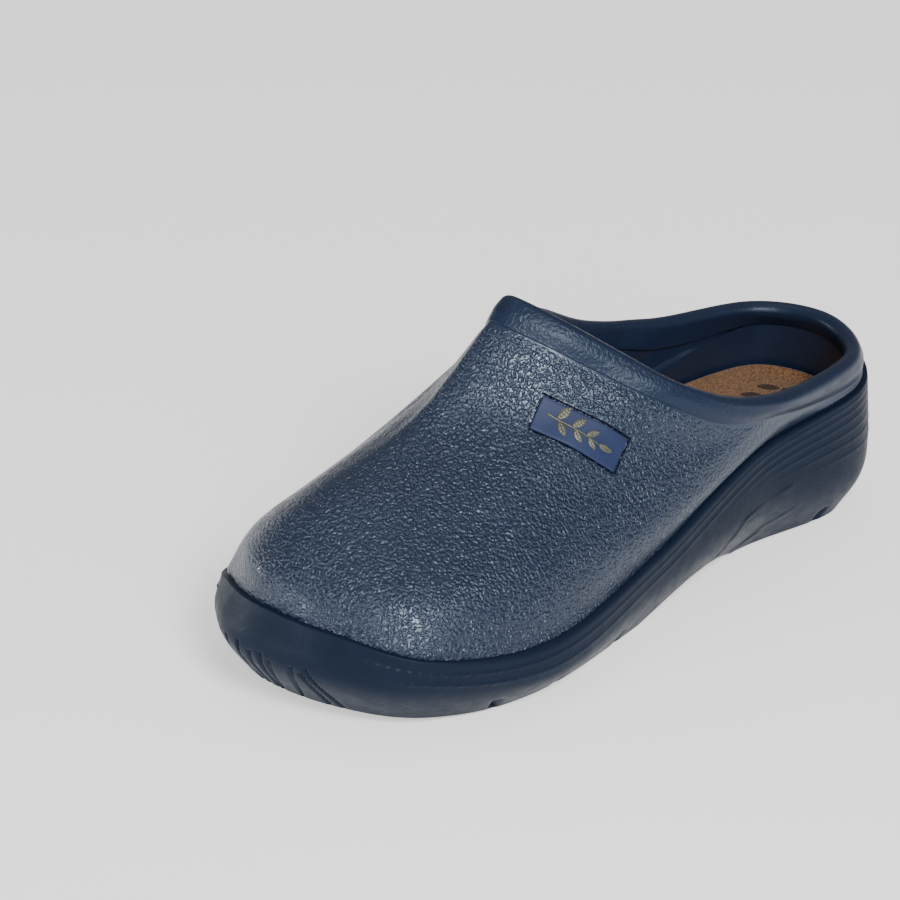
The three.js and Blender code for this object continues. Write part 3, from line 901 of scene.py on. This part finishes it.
def blend_colours(nodes, links, factor, first, second):
    ramp = nodes.new("ShaderNodeValToRGB")
    ramp.color_ramp.elements[0].color = (*first, 1)
    ramp.color_ramp.elements[1].color = (*second, 1)
    links.new(factor, ramp.inputs["Fac"])
    return ramp.outputs["Color"]


def times(nodes, links, value, factor):
    made = nodes.new("ShaderNodeMath")
    made.operation = "MULTIPLY"
    links.new(value, made.inputs[0])
    made.inputs[1].default_value = factor
    return made.outputs[0]


def bump(nodes, links, height, distance, strength=1.0, under=None):
    made = nodes.new("ShaderNodeBump")
    made.inputs["Distance"].default_value = distance
    if isinstance(strength, (int, float)):
        made.inputs["Strength"].default_value = strength
    else:
        links.new(strength, made.inputs["Strength"])
    links.new(height, made.inputs["Height"])
    if under is not None:
        links.new(under, made.inputs["Normal"])
    return made.outputs["Normal"]


GRAIN_SCALE = 900
GRAIN_DEPTH = 0.0004
TOOTH_SCALE = 950
TOOTH_DEPTH = 0.00012
COOL_SHEEN = (0.76, 0.88, 1, 1)


def rubber(name, dark, light, roughness, shine, grain, fine):
    """Moulded rubber: mottled colour, a worm grain that fades to the heel and a fine tooth."""
    made, nodes, links, shader = start_material(name, dark, roughness)
    place = nodes.new("ShaderNodeTexCoord").outputs["Object"]
    mottle = noise(nodes, links, place, scale=60, detail=3)
    links.new(blend_colours(nodes, links, mottle, dark, light), shader.inputs["Base Color"])
    scuff = noise(nodes, links, place, scale=220, detail=4)
    links.new(spread(nodes, links, scuff, 0.3, 0.7, roughness - 0.04, roughness + 0.05),
              shader.inputs["Roughness"])
    tooth = noise(nodes, links, place, TOOTH_SCALE, detail=3)
    normal = bump(nodes, links, tooth, TOOTH_DEPTH, fine)
    if grain:
        worm = noise(nodes, links, place, GRAIN_SCALE, detail=0.6, distortion=0.45)
        height = spread(nodes, links, worm, 0.3, 0.66, 0, 1)
        moulded = nodes.new("ShaderNodeAttribute")
        moulded.attribute_name = "grain"
        depth = times(nodes, links, moulded.outputs["Fac"], grain)
        normal = bump(nodes, links, height, GRAIN_DEPTH, depth, normal)
    links.new(normal, shader.inputs["Normal"])
    shader.inputs["Specular IOR Level"].default_value = shine
    shader.inputs["Specular Tint"].default_value = COOL_SHEEN
    return made


def suede(name):
    """Napped leather: speckled brown with a short, soft pile."""
    made, nodes, links, shader = start_material(name, (0.12, 0.065, 0.032), 0.95)
    place = nodes.new("ShaderNodeTexCoord").outputs["Object"]
    speckle = noise(nodes, links, place, scale=1250, detail=5, roughness=0.75)
    spots = spread(nodes, links, speckle, 0.3, 0.7, 0, 1)
    links.new(blend_colours(nodes, links, spots, (0.032, 0.014, 0.005), (0.25, 0.12, 0.048)),
              shader.inputs["Base Color"])
    pile = noise(nodes, links, place, scale=1400, detail=5)
    links.new(bump(nodes, links, pile, distance=0.0004, strength=0.8), shader.inputs["Normal"])
    shader.inputs["Sheen Weight"].default_value = 0.15
    shader.inputs["Sheen Roughness"].default_value = 0.5
    return made


def pressed_ink(name):
    """The print on the cover: dark brown, worn thin in places."""
    made, nodes, links, shader = start_material(name, (0.03, 0.014, 0.008), 0.8)
    place = nodes.new("ShaderNodeTexCoord").outputs["Object"]
    worn = noise(nodes, links, place, scale=900, detail=4, roughness=0.7)
    links.new(blend_colours(nodes, links, worn, (0.012, 0.006, 0.004), (0.06, 0.03, 0.016)),
              shader.inputs["Base Color"])
    links.new(bump(nodes, links, worn, distance=0.0003, strength=0.7), shader.inputs["Normal"])
    return made


def foam(name):
    """Pressed cork and rubber: a grainy brown with dark flecks."""
    made, nodes, links, shader = start_material(name, (0.16, 0.1, 0.06), 0.9)
    place = nodes.new("ShaderNodeTexCoord").outputs["Object"]
    flecks = noise(nodes, links, place, scale=500, detail=4, distortion=0.4)
    links.new(blend_colours(nodes, links, flecks, (0.05, 0.03, 0.02), (0.3, 0.2, 0.12)),
              shader.inputs["Base Color"])
    links.new(bump(nodes, links, flecks, distance=0.0003, strength=0.6), shader.inputs["Normal"])
    return made


def enamel(name):
    """The badge's plate: satin blue-violet plastic with a faint brushed grain."""
    made, nodes, links, shader = start_material(name, (0.012, 0.02, 0.062), 0.5)
    place = nodes.new("ShaderNodeTexCoord").outputs["Object"]
    cloud = noise(nodes, links, place, scale=260, detail=3)
    links.new(blend_colours(nodes, links, cloud, (0.009, 0.017, 0.055), (0.015, 0.026, 0.078)),
              shader.inputs["Base Color"])
    brushed = noise(nodes, links, place, scale=1600, detail=3)
    links.new(bump(nodes, links, brushed, distance=0.00005, strength=0.5), shader.inputs["Normal"])
    shader.inputs["Specular IOR Level"].default_value = 0.25
    return made


def pewter(name):
    """The raised sprig: dull olive-silver print."""
    made, nodes, links, shader = start_material(name, (0.13, 0.135, 0.1), 0.42)
    place = nodes.new("ShaderNodeTexCoord").outputs["Object"]
    cloud = noise(nodes, links, place, scale=700, detail=3)
    links.new(blend_colours(nodes, links, cloud, (0.06, 0.064, 0.046), (0.12, 0.124, 0.09)),
              shader.inputs["Base Color"])
    links.new(bump(nodes, links, cloud, distance=0.00006, strength=0.5), shader.inputs["Normal"])
    shader.inputs["Metallic"].default_value = 0.55
    return made


def paint(piece, finish):
    piece.data.materials.clear()
    piece.data.materials.append(finish)


# ---------------------------------------------------------------- assembly
sole = make_sole()
upper = make_upper()
collar = make_collar()
spot = BadgeSpot(upper)
plate_top = BADGE_THICKNESS - BADGE_SUNK
plate = bent_slab("badge_inlay", spot, BADGE_LENGTH, BADGE_WIDTH, low=-BADGE_SUNK,
                  high=plate_top, bevel=BADGE_BEVEL)
recess = bent_slab("badge_recess", spot, BADGE_LENGTH + 2 * RECESS_MARGIN,
                   BADGE_WIDTH + 2 * RECESS_MARGIN, low=-RECESS_DEPTH, high=RECESS_TOP, bevel=0)
sprig = make_sprig("emblem_sprig", spot, plate_top, EMBLEM_RISE, size=1)
apply_modifier(upper, "BOOLEAN", operation="DIFFERENCE", solver="EXACT", object=recess)
bpy.data.objects.remove(recess)
soften(upper)

footbed = make_footbed("footbed_pad", GAP, GAP + FOOTBED_BASE, PAD_ROUND)
cover_low = 2 * GAP + FOOTBED_BASE
cover = make_footbed("footbed_suede", cover_low, cover_low + FOOTBED_COVER, COVER_ROUND)
heel_print = make_sprig("footbed_print", HeelSpot(cover), 0, PRINT_RISE, PRINT_SIZE)
tread_front = make_tread("tread_forefoot", "outsole_forefoot")
tread_back = make_tread("tread_heel", "outsole_heel")

NAVY_DARK = (0.0058, 0.0108, 0.0275)
NAVY_LIGHT = (0.0086, 0.0156, 0.038)
SOLE_DARK = (0.004, 0.0078, 0.0185)
SOLE_LIGHT = (0.0056, 0.0104, 0.0245)
paint(upper, rubber("glossy grained rubber", NAVY_DARK, NAVY_LIGHT, roughness=0.31,
                    shine=0.6, grain=0.95, fine=0.25))
paint(collar, rubber("smooth satin rubber", NAVY_DARK, NAVY_LIGHT, roughness=0.37,
                     shine=0.26, grain=1, fine=0.7))
paint(sole, rubber("matte sole rubber", SOLE_DARK, SOLE_LIGHT, roughness=0.44,
                   shine=0.12, grain=0, fine=1))
tread_rubber = rubber("tread rubber", SOLE_DARK, SOLE_LIGHT, roughness=0.6,
                      shine=0.2, grain=0, fine=0.5)
paint(tread_front, tread_rubber)
paint(tread_back, tread_rubber)
paint(footbed, foam("pressed footbed"))
paint(cover, suede("brown suede"))
paint(heel_print, pressed_ink("pressed brown ink"))
paint(plate, enamel("violet-blue enamel"))
paint(sprig, pewter("olive pewter"))

for piece, body, nodes, slot in (
        (sole, "clog", ["sole_unit"], "sole"),
        (upper, "clog", ["upper"], "upper"),
        (collar, "clog", ["collar_roll"], "collar"),
        (tread_front, "clog", ["outsole_forefoot"], "tread"),
        (tread_back, "clog", ["outsole_heel"], "tread"),
        (plate, "clog", ["badge_plate"], "badge"),
        (sprig, "clog", ["badge_emblem"], "emblem"),
        (footbed, "footbed", ["footbed_base"], "footbed_base"),
        (cover, "footbed", ["footbed_cover"], "suede"),
        (heel_print, "footbed", ["footbed_cover"], "suede")):
    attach(piece, body)
    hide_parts(*nodes)

# ---------------------------------------------------------------- stage
FLOOR_GLOW = 0.7
ROOM_GLOW = 0.35

deselect_all()
bpy.ops.mesh.primitive_plane_add(size=8, location=(0, 0, 0))
floor = bpy.context.object
floor.name = "floor"
floor_finish, _, _, floor_shader = start_material("pale floor", (0.76, 0.76, 0.76), 0.9)
floor_shader.inputs["Specular IOR Level"].default_value = 0.1
floor_shader.inputs["Emission Color"].default_value = (1, 1, 1, 1)
floor_shader.inputs["Emission Strength"].default_value = FLOOR_GLOW
paint(floor, floor_finish)

world = bpy.data.worlds.new("studio")
bpy.context.scene.world = world
world.use_nodes = True
world.node_tree.nodes["Background"].inputs["Color"].default_value = (1, 1, 1, 1)
world.node_tree.nodes["Background"].inputs["Strength"].default_value = ROOM_GLOW


def softbox(name, place, target, width, depth, power):
    """A rectangular studio lamp that faces its target."""
    light = bpy.data.lights.new(name, "AREA")
    light.shape = "RECTANGLE"
    light.size = width
    light.size_y = depth
    light.energy = power
    lamp = bpy.data.objects.new(name, light)
    lamp.location = place
    lamp.rotation_euler = (Vector(target) - Vector(place)).to_track_quat("-Z", "Y").to_euler()
    bpy.context.scene.collection.objects.link(lamp)


# Each box: its name, place, aim, width, depth and power.
for box in (
        ("main box", (0.44, 1.05, 1.08), (0.02, 0, 0.06), 0.56, 0.46, 26),
        ("toe box", (1.44, -0.20, 0.30), (0.10, 0, 0.04), 0.35, 0.2, 6),
        ("left box", (0.90, -1.20, 0.20), (0.12, 0, 0.03), 0.4, 0.2, 6),
        ("long box", (0.78, 1.22, 0.68), (0.06, 0, 0.04), 1.2, 0.26, 7),
        ("overhead box", (-0.2, -0.20, 1.5), (0, 0, 0.06), 0.8, 0.8, 3)):
    softbox(*box)

AZIMUTH, ELEVATION, ROLL = 137.49, 28.32, 1.44
CAMERA_PLACE = (1.00828, 1.03941, 0.83342)
LENS = 193.1
SENSOR = 36


def aim_camera():
    """A long lens from above the toe's outer side, rolled slightly."""
    a, e, r = (math.radians(v) for v in (AZIMUTH, ELEVATION, ROLL))
    back = Vector((math.sin(a) * math.cos(e), -math.cos(a) * math.cos(e), math.sin(e)))
    level = Vector((math.cos(a), math.sin(a), 0))
    rise = back.cross(level)
    right = level * math.cos(r) + rise * math.sin(r)
    up = rise * math.cos(r) - level * math.sin(r)
    turn = Matrix((right, up, back)).transposed().to_4x4()
    data = bpy.data.cameras.new("camera")
    data.lens = LENS
    data.sensor_width = SENSOR
    camera = bpy.data.objects.new("camera", data)
    camera.matrix_world = Matrix.Translation(CAMERA_PLACE) @ turn
    bpy.context.scene.collection.objects.link(camera)
    bpy.context.scene.camera = camera


aim_camera()
deselect_all()
